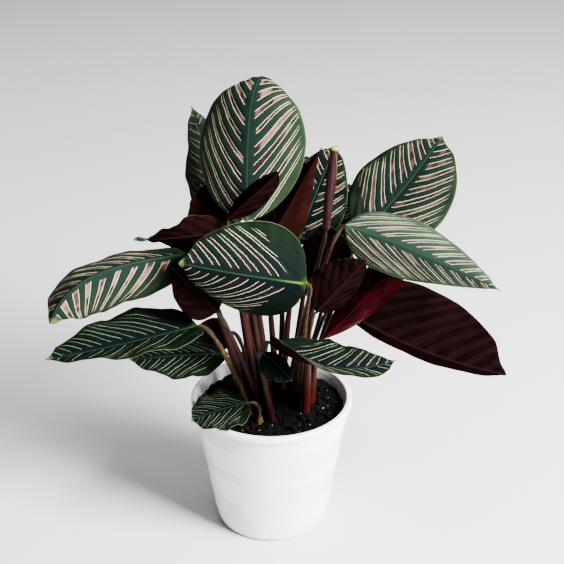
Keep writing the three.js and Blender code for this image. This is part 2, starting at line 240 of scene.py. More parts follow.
def pot_profile():
    """Radius and height from under the foot, up the wall, over the bead and down inside to the middle."""
    under = POT_HEIGHT - LIP_HEIGHT
    wall = np.arange(FOOT_CORNER + 0.4, under - 0.3, 0.5)
    bead = [bend(LIP_RADIUS - 1.0, under + 1.0, 1.0, -80, 0, 6),
            bend(LIP_RADIUS - 2.4, POT_HEIGHT - 2.4, 2.4, 0, 90, 12),
            bend(LIP_INNER_RADIUS + 1.6, POT_HEIGHT - 1.6, 1.6, 90, 180, 9)]
    inside = np.linspace(POT_HEIGHT - 4, FLOOR + 4, 60)
    inner = np.stack([np.minimum(wall_radius(inside) - WALL, LIP_INNER_RADIUS), inside], 1)
    inner_floor = inner[-1, 0]
    return np.concatenate([
        [[0, 0], [20, 0], [FOOT_RADIUS - 6, 0]],
        bend(wall_radius(FOOT_CORNER) - FOOT_CORNER, FOOT_CORNER, FOOT_CORNER, -88, 0, 12),
        np.stack([turned_wall(wall), wall], 1),
        [[WALL_TOP_RADIUS + 0.1, under - 0.1], [WALL_TOP_RADIUS + 0.5, under]],
        *bead,
        inner,
        bend(inner_floor - 4, FLOOR + 4, 4, -15, -90, 6),
        [[20, FLOOR], [0, FLOOR]],
    ])


pot_points, pot_faces = round_body(pot_profile(), POT_SIDES)
glazed_pot = put("glazed_pot", pot_points, pot_faces, [white_glaze()])
belongs(glazed_pot, "pot_glaze", "pot")


# ---------------------------------------------------------------- potting soil
# Damp black potting compost of peat and bark, filled to a finger under the rim and left uneven.
# Its top is loose: crumbs of peat lie on it, with a few pale grains of grit among them.
SOIL_TOP = 110
SOIL_RADIUS = 61.4
LUMP = 30
LUMP_HEIGHT = 1.1
SWELL = 13
SWELL_HEIGHT = 0.6
CRUMBS = 900
GRAINS = 64


def hills(x, y, seed, pitch):
    """Smooth random heights from -1 to 1: random values at the corners of squares, blended between them."""
    table = np.random.default_rng(seed).uniform(-1, 1, (64, 64))
    gx, gy = x / pitch + 31.7, y / pitch + 31.3
    i, j = np.floor(gx).astype(int), np.floor(gy).astype(int)
    u, v = gx - i, gy - j
    u, v = u * u * (3 - 2 * u), v * v * (3 - 2 * v)
    at = lambda a, b: table[a % 64, b % 64]
    near = at(i, j) * (1 - u) + at(i + 1, j) * u
    far = at(i, j + 1) * (1 - u) + at(i + 1, j + 1) * u
    return near * (1 - v) + far * v


def soil_height(x, y):
    """Broad lumps and swells, as in the solid, under three sizes of random crumbling."""
    turn = 2 * math.pi
    broad = LUMP_HEIGHT * np.sin(turn * x / LUMP) * np.cos(turn * y / LUMP)
    broad = broad + SWELL_HEIGHT * np.sin(turn * (x + y) / SWELL)
    fine = 0.7 * hills(x, y, 3, 5.5) + 0.45 * hills(x, y, 4, 2.6) + 0.25 * hills(x, y, 5, 1.4)
    return SOIL_TOP + broad + fine


def compost(name, dark, pale, share):
    """Crumbly peat: two browns in small patches, with a rough, hardly shining surface."""
    f = Finish(name)
    where = f.place()
    patches = f.cloud(where, 380, 4, 0.7)
    grit = f.cloud(where, 1500, 3, 0.7)
    colour = f.blend(f.step(patches, share, share + 0.25), paint(*dark), paint(*pale))
    bumps = f.relief(f.sums("ADD", patches, f.sums("MULTIPLY", grit, 0.4)), 0.0012)
    return f.give(Base_Color=colour, Roughness=0.85, Normal=bumps, Specular_IOR_Level=0.06)


def soil_profile():
    """Radius and height from the bottom of the plug, up its side and over the top to the middle."""
    side = np.linspace(FLOOR + 4.5, SOIL_TOP - 4, 12)
    over = np.linspace(SOIL_RADIUS, 0, 96)
    return np.concatenate([
        [[0, FLOOR + 0.4], [40, FLOOR + 0.4]],
        np.stack([wall_radius(side) - WALL - 0.4, side], 1),
        np.stack([over, np.full(96, float(SOIL_TOP))], 1),
    ])


soil_points, soil_faces = round_body(soil_profile(), 220)
top_side = soil_points[:, 2] > SOIL_TOP - 1
soil_points[top_side, 2] = soil_height(soil_points[top_side, 0], soil_points[top_side, 1])
potting_soil = put("potting_soil", soil_points, soil_faces, [compost("peat", (1, 1, 1), (7, 6, 6), 0.5)])
belongs(potting_soil, "soil", "soil")

GOLD = (1 + math.sqrt(5)) / 2
LUMP_POINTS = np.array([
    [-1, GOLD, 0], [1, GOLD, 0], [-1, -GOLD, 0], [1, -GOLD, 0], [0, -1, GOLD], [0, 1, GOLD],
    [0, -1, -GOLD], [0, 1, -GOLD], [GOLD, 0, -1], [GOLD, 0, 1], [-GOLD, 0, -1], [-GOLD, 0, 1],
]) / math.hypot(1, GOLD)
LUMP_FACES = np.array([
    [0, 11, 5], [0, 5, 1], [0, 1, 7], [0, 7, 10], [0, 10, 11], [1, 5, 9], [5, 11, 4], [11, 10, 2],
    [10, 7, 6], [7, 1, 8], [3, 9, 4], [3, 4, 2], [3, 2, 6], [3, 6, 8], [3, 8, 9], [4, 9, 5],
    [2, 4, 11], [6, 2, 10], [8, 6, 7], [9, 8, 1],
])


def scattered(count, smallest, largest, seed, reach):
    """Lumps of twenty faces: each is stretched and turned at random and half sunk in the soil's top."""
    rng = np.random.default_rng(seed)
    r = reach * np.sqrt(rng.uniform(0.02, 1, count))
    angle = rng.uniform(0, 2 * math.pi, count)
    x, y = r * np.cos(angle), r * np.sin(angle)
    size = smallest + (largest - smallest) * rng.uniform(0, 1, count) ** 3
    stretch = size[:, None] * rng.uniform(0.6, 1.25, (count, 3))
    turn, _ = np.linalg.qr(rng.normal(size=(count, 3, 3)))
    turn *= np.sign(np.linalg.det(turn))[:, None, None]
    jag = rng.uniform(0.8, 1.2, (count, 12, 1))
    lumps = np.einsum("nij,nkj->nki", turn, LUMP_POINTS[None] * jag * stretch[:, None])
    lumps += np.stack([x, y, soil_height(x, y) + 0.25 * size], 1)[:, None]
    faces = LUMP_FACES[None] + 12 * np.arange(count)[:, None, None]
    return lumps.reshape(-1, 3), faces.reshape(-1, 3)


crumb_points, crumb_faces = scattered(CRUMBS, 0.5, 2.2, 11, 59)
soil_crumbs = put("soil_crumbs", crumb_points, crumb_faces,
                  [compost("bark_crumb", (3, 2, 2), (20, 15, 13), 0.6)], smooth=False)
belongs(soil_crumbs, "soil")
grain_points, grain_faces = scattered(GRAINS, 0.35, 1.15, 23, 58)
soil_grains = put("soil_grains", grain_points, grain_faces,
                  [compost("pale_grit", (84, 78, 68), (150, 144, 132), 0.45)], smooth=False)
belongs(soil_grains, "soil")


# ---------------------------------------------------------------- leaf stems
# Each leaf stands on its own stem, which grows out of the soil in a short open sheath.
# The stem is smooth and maroon with fine ridges, and swells into a paler knuckle under the blade.
#
# A row holds what makes a leaf unlike the ordinary one, in millimetres and degrees. The stem leaves the soil
# at root, stout and with a lean, a rise and a knee, and ends at the joint. There the blade starts with its
# heading and pitch. It has a droop, bend and sweep along the midrib, a roll and twist about it, a fold and
# curl of each half, waves at the margin, and an outline by the powers base and tip. Then come the colours:
# how pale the green is, which is painted sheen and light (0 paints the leaf in shade), the lines, a blush of
# pink and how far the midrib is bare on the face, how far the back is lifted out of painted shade, and how
# red the stem is painted where light falls on it (lit) or how dry it is.
ORDINARY = dict(length=110, width=80, heading=0, pitch=0, droop=30, bend=1, sweep=0, roll=0, twist=0,
                fold=12, curl=-20, unfold=0, wave=2, waves=3, base=0.42, tip=0.78, drip=0.55, rolled=False,
                stout=1, knee=13, rise=0.38, lean=0.6, veins=1.1, slant=0.8,
                pale=0.3, lines=0.75, blush=0.35, bare=0.02, back_unshaded=0.6, lit=0.3, dry=0)
LEAVES = [{**ORDINARY, **row} for row in (
    dict(name="top", root=(-1, 6), joint=(-20, 19, 273), length=134, width=95, heading=87, pitch=80,
         droop=128, bend=5.7, roll=6, fold=-9, curl=-32, wave=1.5, base=0.55, tip=0.66, right_fold=-10,
         right_curl=-15, sweep=-24, twist=0, stout=1.2, pale=0.35, lines=0.9, blush=0.4, bare=-0.6,
         veins=1.2, slant=0.85),
    dict(name="top_behind", root=(-6, 23), joint=(-39, 76, 233), length=119, width=66, heading=153,
         pitch=80, droop=11, roll=-12, fold=7, curl=-13, right_fold=7, right_curl=-12, base=0.48,
         tip=0.95, sweep=1, twist=-5, pale=0.6, lines=0.6, blush=0.2, slant=0.75),
    dict(name="front", root=(22, -3), joint=(28, -38, 244), length=101, width=95, heading=187, pitch=11,
         droop=-1, roll=-58, fold=-28, curl=-50, right_fold=-8, right_curl=-15, tip=0.64, wave=0.8,
         rise=0.66, lean=0, knee=8, base=0.33, sweep=-9, twist=-8, stout=1.25, pale=0, lines=0.8, blush=0,
         bare=0.1, veins=1.1, slant=0.75, dry=0.3),
    dict(name="left", root=(-18, -1), joint=(-68, -10, 257), length=129, width=76, heading=201, pitch=1,
         droop=75, bend=3.1, roll=-36, fold=-37, curl=-54, right_fold=-40, right_curl=-12, base=0.24,
         tip=0.27, sweep=15, twist=5, stout=1.2, pale=0.4, lines=0.95, blush=0.5, veins=1.35, slant=0.55),
    dict(name="left_low", root=(-12, -15), joint=(-60, -18, 196), length=127, width=81, heading=207,
         pitch=-2, droop=-4, roll=-15, fold=30, curl=-3, right_fold=1, right_curl=-14, wave=2.5,
         base=0.36, tip=0.76, sweep=-2, twist=-1, pale=0, lines=0.2, blush=0, lit=0.4, veins=1, slant=0.8,
         dry=0.45),
    dict(name="left_lowest", root=(-20, 8), joint=(-37, 12, 153), length=85, width=53, heading=192,
         pitch=6, droop=4, roll=-12, fold=3, curl=-13, right_fold=-3, right_curl=-15, base=0.72, tip=0.92,
         sweep=5, twist=-6, pale=0, lines=0.12, blush=0, veins=1.2, slant=0.85, dry=0.4),
    dict(name="left_inner", root=(-15, 24), joint=(-38, 50, 153), length=36, width=32, heading=180,
         pitch=-14, droop=6, roll=118, fold=8, curl=-10, back_unshaded=0.1),
    dict(name="right_low", root=(-3, -19), joint=(0, -29, 186), length=110, width=66, heading=-46,
         sweep=72, pitch=-14, droop=-22, roll=11, twist=30, fold=-7, curl=-14, right_fold=84,
         right_curl=-15, base=0.44, tip=0.92, unfold=0.58, pale=0, lines=0.4, blush=0.1, lit=0.45,
         veins=1, slant=0.9, back_unshaded=0.25),
    dict(name="right_top", root=(27, 10), joint=(76, 42, 250), length=111, width=91, heading=24, pitch=40,
         droop=1, roll=46, fold=-10, curl=-29, right_fold=20, right_curl=-6, tip=0.74, base=0.52,
         sweep=23, twist=-11, pale=0.2, lines=0.75, blush=0.2, veins=1.25, slant=0.75),
    dict(name="right", root=(14, 4), joint=(60, 8, 273), length=135, width=58, heading=-26, sweep=8,
         pitch=13, droop=33, bend=0.2, roll=42, fold=-11, curl=-24, right_fold=-26, right_curl=-24,
         base=0.48, tip=1.06, twist=24, stout=1.1, pale=0.85, lines=0.7, blush=0.4, lit=0.5, veins=1.3,
         slant=1.5, bare=-0.2),
    dict(name="right_back_turned", root=(20, 19), joint=(57, 34, 187), length=154, width=103, heading=-23,
         pitch=-26, droop=-20, roll=-109, fold=66, curl=4, right_fold=-1, right_curl=8, base=0.43,
         tip=0.56, sweep=11, twist=2, pale=0, lines=0.3, blush=0, back_unshaded=0),
    dict(name="half_open", root=(32, 1), joint=(45, 6, 172), length=96, width=62, heading=4, pitch=49,
         droop=0, roll=-115, fold=10, curl=95, base=0.75, tip=0.5, stout=1.2, lit=0.8),
    dict(name="spear", root=(12, 13), joint=(45, 24, 263), length=72, width=8.8, heading=18, pitch=85,
         droop=0, base=0.16, tip=0.14, rolled=True, drip=0),
    dict(name="heart", root=(-10, 2), joint=(-34, 8, 280), length=63, width=36, heading=-18, pitch=46,
         droop=0, roll=-95, fold=60, curl=-10, right_fold=65, right_curl=-10, knee=6, stout=1.5, lit=0.6,
         back_unshaded=0.1),
    dict(name="centre", root=(5, 13), joint=(-1, 38, 247), length=91, width=66, heading=8, pitch=62,
         droop=0, roll=-103, fold=52, curl=-10, right_fold=50, right_curl=-10, base=0.2, tip=1.3,
         back_unshaded=0.45),
    dict(name="centre_behind", root=(8, 21), joint=(24, 63, 238), length=86, width=58, heading=30,
         pitch=68, droop=5, roll=53, fold=5, curl=-15, pale=0, lines=0.55, veins=1.1, slant=0.75),
    dict(name="shoulder", root=(-10, 12), joint=(-34, 42, 264), length=37, width=46, heading=172,
         pitch=25, droop=0, roll=105, fold=10, curl=-10, tip=0.4, back_unshaded=0.5),
    dict(name="left_upper", root=(-2, -4), joint=(-36, 12, 266), length=76, width=40, heading=194,
         pitch=-2, droop=-6, roll=114, twist=-105, fold=10, curl=-10, tip=0.4, pale=0.7, back_unshaded=0.1),
    dict(name="under_front", root=(-6, -11), joint=(-44, -18, 209), length=54, width=38, heading=190,
         pitch=50, droop=0, roll=105, fold=8, curl=-10, back_unshaded=0),
    dict(name="right_inner", root=(28, -11), joint=(37, -14, 207), length=60, width=48, heading=6,
         pitch=48, droop=0, roll=-112, fold=60, curl=-10, stout=1.3, lean=1, right_fold=8, lit=0.9,
         back_unshaded=0),
    dict(name="crown_small", root=(3, -26), joint=(-6, -38, 182), length=34, width=30, heading=-41,
         pitch=-15, droop=20, roll=20, fold=-20, curl=-30, lines=0, pale=0),
    dict(name="rim", root=(-9, -26), joint=(-19, -33, 132), length=50, width=51, heading=201, pitch=0,
         droop=12, roll=-5, fold=3, curl=-6, tip=0.56, right_fold=2, right_curl=-6, base=0.43, sweep=3,
         twist=-3, pale=0, lines=0.07, blush=0, veins=1.3, slant=0.8, dry=1),
    dict(name="back_top", root=(8, 29), joint=(11, 66, 228), length=126, width=68, heading=80, pitch=52,
         droop=62, fold=6, curl=-14),
    dict(name="back_right", root=(16, 27), joint=(37, 67, 230), length=112, width=70, heading=56,
         pitch=38, droop=55, fold=6, curl=-14),
    dict(name="back_low", root=(25, 28), joint=(47, 50, 196), length=66, width=50, heading=-94, pitch=83,
         droop=0, fold=6, curl=-14, pale=0, lines=0.3, back_unshaded=0),
)]
STEM_DEPTH = 18
STEM_FOOT = 3.05
STEM_TOP = 1.75
SHEATH_THINS = 0.25
SHEATH_ENDS = 0.9
KNUCKLE = 2.1
KNUCKLE_LENGTH = 22
END_NARROWS = 0.625
JOINT_GAP = 0.8
RUN_IN = 3.0
STEM_SIDES = 20
RING_STEP = 2.0
STEM_RIDGE = 0.035
SHEATH_GROOVE = 0.30


def unit(vectors):
    return vectors / np.linalg.norm(vectors, axis=-1, keepdims=True)


def direction(pitch, heading):
    """Unit vector that rises by the pitch and points along the heading, both in degrees."""
    p, h = np.radians(pitch), np.radians(heading)
    return np.stack(np.broadcast_arrays(np.cos(p) * np.cos(h), np.cos(p) * np.sin(h), np.sin(p)), -1)


def steps(line):
    """Distance from each point of a line to the next."""
    return np.linalg.norm(np.diff(line, axis=0), axis=1)


def stem_line(leaf, count):
    """A cubic curve: up out of the soil, over, and through the knee into the midrib's direction."""
    foot = np.array([*leaf["root"], SOIL_TOP - STEM_DEPTH], float)
    along = direction(leaf["pitch"], leaf["heading"])
    end = np.array(leaf["joint"], float) - JOINT_GAP * along
    reach = np.linalg.norm(end - foot)
    chord = (end - foot) / reach
    rise = unit(np.array([leaf["lean"] * chord[0], leaf["lean"] * chord[1], 1.0])) * leaf["rise"] * reach
    knee = end - leaf["knee"] * along
    k = np.linspace(0, 1, count)[:, None]
    line = ((1 - k) ** 3 * foot + 3 * (1 - k) ** 2 * k * (foot + rise)
            + 3 * (1 - k) * k ** 2 * knee + k ** 3 * end)
    run_in = end + along * np.linspace(0, RUN_IN, 5)[1:, None]
    return np.concatenate([line, run_in])


def stem_radius(stout, run, total):
    """Radius along the stem: a stout sheathed foot, a slender upper part, a knuckle, and a narrower end."""
    slender = smooth(SHEATH_THINS, SHEATH_ENDS, run / total)
    shaft = STEM_FOOT * stout * (1 - slender) + STEM_TOP * slender
    left = total - RUN_IN - run
    knuckle = smooth(KNUCKLE_LENGTH + 3, KNUCKLE_LENGTH - 3, left)
    swell = KNUCKLE - 0.35 * np.cos(math.pi * np.clip(left / KNUCKLE_LENGTH, 0, 1) * 2)
    radius = shaft * (1 - knuckle) + (0.85 * swell) * knuckle
    return radius * (1 - END_NARROWS * smooth(5, -RUN_IN, left))


def tube_faces(rows, sides, start=0):
    """Faces of a tube's side and of a fan at each end, whose middle points follow the rings."""
    faces = sheet_faces(rows, sides, start, round_=True, flip=True).tolist()
    ring = np.arange(sides)
    after = (ring + 1) % sides
    foot, end = start + rows * sides, start + rows * sides + 1
    last = start + (rows - 1) * sides
    faces += np.stack([np.full(sides, foot), start + after, start + ring], 1).tolist()
    faces += np.stack([np.full(sides, end), last + ring, last + after], 1).tolist()
    return faces


def stem_shape(leaf):
    """Rings about the stem's line: the radius times one plus small ridges, with an open groove at the foot.
    Each point carries its share of the length and how far it is below the top, up to 40 mm."""
    length = steps(stem_line(leaf, 60)).sum()
    line = stem_line(leaf, int(length / RING_STEP))
    run = np.concatenate([[0], np.cumsum(steps(line))])
    ahead = unit(np.gradient(line, run, axis=0))
    side = direction(0, leaf["heading"] + 90)
    side = unit(side - ahead * (ahead @ side)[:, None])
    up = np.cross(ahead, side)
    angle = np.linspace(0, 2 * math.pi, STEM_SIDES, endpoint=False)[None, :]
    sheath = smooth(0.42, 0.12, run / run[-1])[:, None]
    ridges = 1 + STEM_RIDGE * np.cos(5 * angle + 4 * run[:, None] / run[-1])
    from_groove = np.angle(np.exp(1j * (angle - math.pi / 2)))
    groove = 1 - SHEATH_GROOVE * sheath * np.exp(-(from_groove / 0.42) ** 2)
    radius = stem_radius(leaf["stout"], run, run[-1])[:, None] * ridges * groove
    points = line[:, None] + radius[..., None] * (np.cos(angle)[..., None] * side[:, None]
                                                  + np.sin(angle)[..., None] * up[:, None])
    rings = np.concatenate([points.reshape(-1, 3), line[:1], line[-1:]])
    near = np.clip((run[-1] - RUN_IN - run) / 40, 0, 1)
    lengthwise = np.concatenate([np.repeat(run / run[-1], STEM_SIDES), [0, 1]])
    to_top = np.concatenate([np.repeat(near, STEM_SIDES), [1, 0]])
    return rings, tube_faces(len(line), STEM_SIDES), np.stack([lengthwise, to_top, 0 * to_top], 1)


def stem_skin():
    """Maroon stem, darker at the foot and olive at the knuckle, with fine streaks. Some are painted a
    brighter red where light falls on them, some dry.
    """
    f = Finish("stem_skin")
    run, to_top, _ = f.carried("stem")
    painted_lit_red, dry, _ = f.carried("look")
    where = f.place()
    streaks = f.cloud(f.stretched(where, (1, 1, 0.06)), 900, 2)
    patches = f.cloud(where, 70, 2)
    shaft = f.blend(f.step(run, 0.1, 0.75), paint(8, 2, 2), paint(20, 7, 4))
    shaft = f.blend(f.step(patches, 0.4, 0.7), shaft, paint(12, 4, 3))
    # Painted light: lit turns the shaft to a brighter red on the stems that catch the light.
    shaft = f.blend(painted_lit_red, shaft, paint(44, 7, 5))
    shaft = f.blend(f.sums("MULTIPLY", f.step(streaks, 0.35, 0.75), 0.25), shaft, paint(44, 20, 13))
    shaft = f.blend(dry, shaft, f.blend(f.step(streaks, 0.4, 0.65), paint(44, 30, 16), paint(92, 72, 44)))
    knuckle = f.blend(f.step(patches, 0.4, 0.65), paint(40, 31, 18), paint(26, 15, 9))
    colour = f.blend(f.step(to_top, 0.62, 0.4), shaft, knuckle)
    bumps = f.relief(streaks, 0.0002)
    return f.give(Base_Color=colour, Roughness=0.42, Normal=bumps, Specular_IOR_Level=0.1,
                  Subsurface_Weight=0.08, Subsurface_Radius=(0.003, 0.001, 0.0006), Subsurface_Scale=0.5)


stem_finish = stem_skin()
for leaf in LEAVES:
    points, faces, run = stem_shape(leaf)
    petiole = put("petiole_" + leaf["name"], points, faces, [stem_finish])
    carry(petiole, run, "stem")
    carry(petiole, np.tile([leaf["lit"], leaf["dry"], 0], (len(points), 1)), "look")
    belongs(petiole, "stem", "stem_" + leaf["name"])


# ---------------------------------------------------------------- leaf blades
# A thin waved leaf of one piece: a midrib, and side veins that leave it slanting and bend to the tip.
# Its upper face is dark green with fine pink-white lines in pairs along the veins, and its back is maroon.
BLADE_THICKNESS = 0.55
BLADE_COLUMNS = 41
MIDRIB_STEPS = 960
RIDGE_HEIGHT = 1.5
RIDGE_WIDTH = 1.25
GROOVE_DEPTH = 0.28
GROOVE_WIDTH = 1.3
QUILT_HEIGHT = 0.4
FINE_RIPPLE = 0.45
FEWEST_VEINS = 1.9
VEIN_STEP = 24.5
VEIN_BEND = 2.2
RIGHT_SHIFT = 1.9
HALF_SHIFT = 0.42


def half_width(leaf, t):
    """t to the base power times 1 - t to the tip power, scaled so that its peak is half the width. The last
    tenth narrows to a short drip tip."""
    base, tip = leaf["base"], leaf["tip"]
    widest = base / (base + tip)
    peak = widest ** base * (1 - widest) ** tip
    width = leaf["width"] / 2 * t ** base * (1 - t) ** tip / peak
    width = width * (1 - leaf["drip"] * smooth(0.9, 0.98, t))
    return np.maximum(width, 0.35)


def midrib_line(leaf, t):
    """Small steps along the midrib's direction, summed: it pitches up less the droop times t to the bend, and
    heads round by the sweep times t."""
    fine = (np.arange(MIDRIB_STEPS) + 0.5) / MIDRIB_STEPS
    pitch = leaf["pitch"] - leaf["droop"] * fine ** leaf["bend"]
    ahead = direction(pitch, leaf["heading"] + leaf["sweep"] * fine)
    path = np.cumsum(ahead, 0) * leaf["length"] / MIDRIB_STEPS
    path = np.concatenate([np.zeros((1, 3)), path]) + leaf["joint"]
    at = np.linspace(0, 1, MIDRIB_STEPS + 1)
    return np.stack([np.interp(t, at, path[:, k]) for k in range(3)], 1)


def blade_sheet(leaf, t, s):
    """The blade's middle surface. Each half leaves the midrib at its fold and bends on as an arc by its curl;
    ripples of the margin grow with the distance from the midrib."""
    heading = leaf["heading"] + leaf["sweep"] * t
    along = direction(leaf["pitch"] - leaf["droop"] * t ** leaf["bend"], heading)
    level = direction(0 * t, heading + 90)
    up = np.cross(along, level)
    roll = np.radians(leaf["roll"] + leaf["twist"] * t)[:, None]
    side = level * np.cos(roll) + up * np.sin(roll)
    face = up * np.cos(roll) - level * np.sin(roll)
    width = half_width(leaf, t)[:, None]
    left = s[None, :] >= 0
    across = np.abs(s)[None, :]
    fold = np.radians(np.where(left, leaf["fold"], leaf.get("right_fold", leaf["fold"])))
    fold = fold * (1 - leaf["unfold"] * t[:, None])
    curl = np.radians(np.where(left, leaf["curl"], leaf.get("right_curl", leaf["curl"])))
    curl = curl * np.minimum(1, width / 6)
    out = (np.sin(fold + curl * across) - np.sin(fold)) / curl
    rise = (np.cos(fold) - np.cos(fold + curl * across)) / curl
    phase = 2 * math.pi * leaf["waves"] * t[:, None] + np.where(left, 0, RIGHT_SHIFT)
    calm = np.sqrt(4 * t * (1 - t))[:, None]
    ripple = leaf["wave"] * calm * across ** 2.2 * np.sin(phase)
    small = FINE_RIPPLE * calm * across ** 3 * np.sin(2.7 * phase + leaf["length"] + 2 * s[None, :])
    middle = midrib_line(leaf, t)[:, None]
    return (middle + side[:, None] * (np.sign(s)[None, :] * out * width)[..., None]
            + face[:, None] * (rise * width + ripple + small)[..., None])


def vein_number(leaf, t, s):
    """Number of the side vein: the pairs to a half, times t less the slant times the sum of x and the bend
    times x squared, where x is the distance from the midrib as a share of the leaf's length."""
    pairs = leaf["veins"] * (FEWEST_VEINS + leaf["length"] / VEIN_STEP)
    x = np.abs(s) * half_width(leaf, t)[:, None] / leaf["length"]
    return pairs * (t[:, None] - leaf["slant"] * (x + VEIN_BEND * x * x))


def spacing(sheet, number):
    """Millimetres from one vein to the next: one over the slope of the vein number on the sheet."""
    du, dv = np.gradient(sheet, axis=0), np.gradient(sheet, axis=1)
    ku, kv = np.gradient(number, axis=0), np.gradient(number, axis=1)
    uu, uv, vv = (du * du).sum(-1), (du * dv).sum(-1), (dv * dv).sum(-1)
    slope = (vv * ku * ku - 2 * uv * ku * kv + uu * kv * kv) / np.maximum(uu * vv - uv * uv, 1e-6)
    return np.clip(1 / np.sqrt(np.maximum(slope, 1e-4)), 1.5, 40)


def blade_shape(leaf, number):
    """Two skins of the sheet, half a thickness either way along its normal, joined round the margin. Above
    there is a groove on the midrib and below a rib, and both are quilted between the veins."""
    rows = int(np.clip(leaf["length"] * 1.05, 56, 150))
    t = (1 - np.cos(math.pi * np.linspace(0, 1, rows))) / 2
    v = np.linspace(-1, 1, BLADE_COLUMNS)
    s = np.sign(v) * np.abs(v) ** 1.5
    sheet = blade_sheet(leaf, t, s)
    normal = np.cross(np.gradient(sheet, axis=0), np.gradient(sheet, axis=1))
    normal = unit(normal + 1e-9)
    veins = vein_number(leaf, t, s)
    width = half_width(leaf, t)[:, None]
    off = np.abs(s)[None, :] * width
    side = np.where(s > 0, HALF_SHIFT, 0)[None, :]
    open_ = smooth(1.0, 7.0, off) * smooth(1.0, 0.86, np.abs(s))[None, :]
    quilt = QUILT_HEIGHT * open_ * np.cos(2 * math.pi * (veins + side))
    edge = 1 - 0.7 * np.abs(s)[None, :] ** 10
    rib_width = RIDGE_WIDTH * (1 - 0.6 * t[:, None])
    rib = RIDGE_HEIGHT * (1 - 0.85 * t[:, None]) * np.exp(-(off / rib_width) ** 2)
    groove = GROOVE_DEPTH * np.exp(-(off / GROOVE_WIDTH) ** 2) * smooth(0.0, 0.04, t)[:, None]
    above = BLADE_THICKNESS / 2 * edge + quilt - groove
    below = BLADE_THICKNESS / 2 * edge - quilt + rib
    upper = (sheet + normal * above[..., None]).reshape(-1, 3)
    lower = (sheet - normal * below[..., None]).reshape(-1, 3)
    under = rows * BLADE_COLUMNS
    margin = np.concatenate([
        np.arange(BLADE_COLUMNS - 1),
        np.arange(rows - 1) * BLADE_COLUMNS + BLADE_COLUMNS - 1,
        (rows - 1) * BLADE_COLUMNS + np.arange(BLADE_COLUMNS - 1, 0, -1),
        np.arange(rows - 1, 0, -1) * BLADE_COLUMNS,
    ])
    after = np.roll(margin, -1)
    faces = np.concatenate([
        sheet_faces(rows, BLADE_COLUMNS),
        sheet_faces(rows, BLADE_COLUMNS, under, flip=True),
        np.stack([margin, after, under + after, under + margin], 1),
    ])
    count = (rows - 1) * (BLADE_COLUMNS - 1)
    part = np.concatenate([np.zeros(count), np.ones(count), np.zeros(len(margin))]).astype(int)
    vein = np.stack([veins, np.broadcast_to(s, veins.shape), spacing(sheet, veins)], -1).reshape(-1, 3)
    lie = np.stack([np.broadcast_to(t[:, None], veins.shape), off, np.full(veins.shape, float(number))], -1)
    lie = lie.reshape(-1, 3)
    return np.concatenate([upper, lower]), faces, part, np.tile(vein, (2, 1)), np.tile(lie, (2, 1))


class Veins:
    """What the faces of a blade share: for each point its pair of veins, and where it lies on the leaf."""

    def __init__(self, f):
        number, s, self.pitch = f.carried("vein")
        self.t, self.off, seed = f.carried("lie")
        self.where = f.place()
        left = f.sums("GREATER_THAN", s, 0)
        wobble = f.sums("SUBTRACT", f.cloud(self.where, 55, 2), 0.5)
        number = f.sums("MULTIPLY_ADD", left, HALF_SHIFT, number)
        number = f.sums("MULTIPLY_ADD", wobble, 0.22, number)
        pair = f.sums("FLOOR", number)
        self.apart = f.sums("ABSOLUTE", f.sums("SUBTRACT", f.sums("SUBTRACT", number, pair), 0.5))
        name = f.sums("MULTIPLY_ADD", left, 71.3, f.sums("MULTIPLY_ADD", seed, 17.3, pair))
        chance = f.node("ShaderNodeTexWhiteNoise", {"W": name}, noise_dimensions="1D").outputs["Color"]
        self.chances = f.node("ShaderNodeSeparateXYZ", {0: chance}).outputs
        self.away = f.sums("ABSOLUTE", s)
        course = {0: f.sums("MULTIPLY", number, 9), 1: f.sums("MULTIPLY", self.away, 2.5), 2: seed}
        self.streaks = f.cloud(f.node("ShaderNodeCombineXYZ", course).outputs[0], 1.0, 3, 0.65)

    def relief(self, f, grain):
        """The streaks along the veins and a finer grain, as relief."""
        return f.relief(f.sums("ADD", self.streaks, f.sums("MULTIPLY", grain, 0.6)), 0.0004)


def leaf_green(f, veins, pale):
    """Dark blue-green by the midrib and leaf green at the margin, feathered along the veins. Pale lifts it to
    a lighter grey-green, which is painted sheen and light on leaves that catch them; at 0 the leaf is painted
    in shade.
    """
    outward = f.step(veins.away, 0.0, 1.0)
    ground = f.blend(outward, paint(1, 7, 7), paint(3, 12, 4))
    # Painted sheen and light: a lighter grey-green ground, blended in by pale on leaves that catch the light
    # or a sheen.
    light = f.blend(outward, paint(22, 38, 32), paint(42, 56, 41))
    ground = f.blend(pale, ground, light)
    feathered = f.step(veins.streaks, 0.42, 0.7)
    feathered = f.sums("MULTIPLY", feathered, f.sums("MULTIPLY_ADD", outward, 0.14, 0.05))
    # Painted light: the feathering also grows with pale, so it fades on leaves painted in shade.
    feathered = f.sums("MULTIPLY", feathered, f.sums("MULTIPLY_ADD", pale, 0.8, 0.4))
    return f.blend(feathered, ground, paint(40, 62, 36))


def half_gap(f, veins, blush):
    """Half the distance between the two lines of a pair, as a share of the way to the next pair."""
    gap = f.sums("MULTIPLY_ADD", veins.chances[0], 0.12, 0.13)
    gap = f.sums("MULTIPLY", gap, f.sums("MULTIPLY_ADD", veins.away, -0.2, 1.0))
    return f.sums("MULTIPLY", gap, f.sums("MULTIPLY_ADD", blush, -0.4, 1.22))


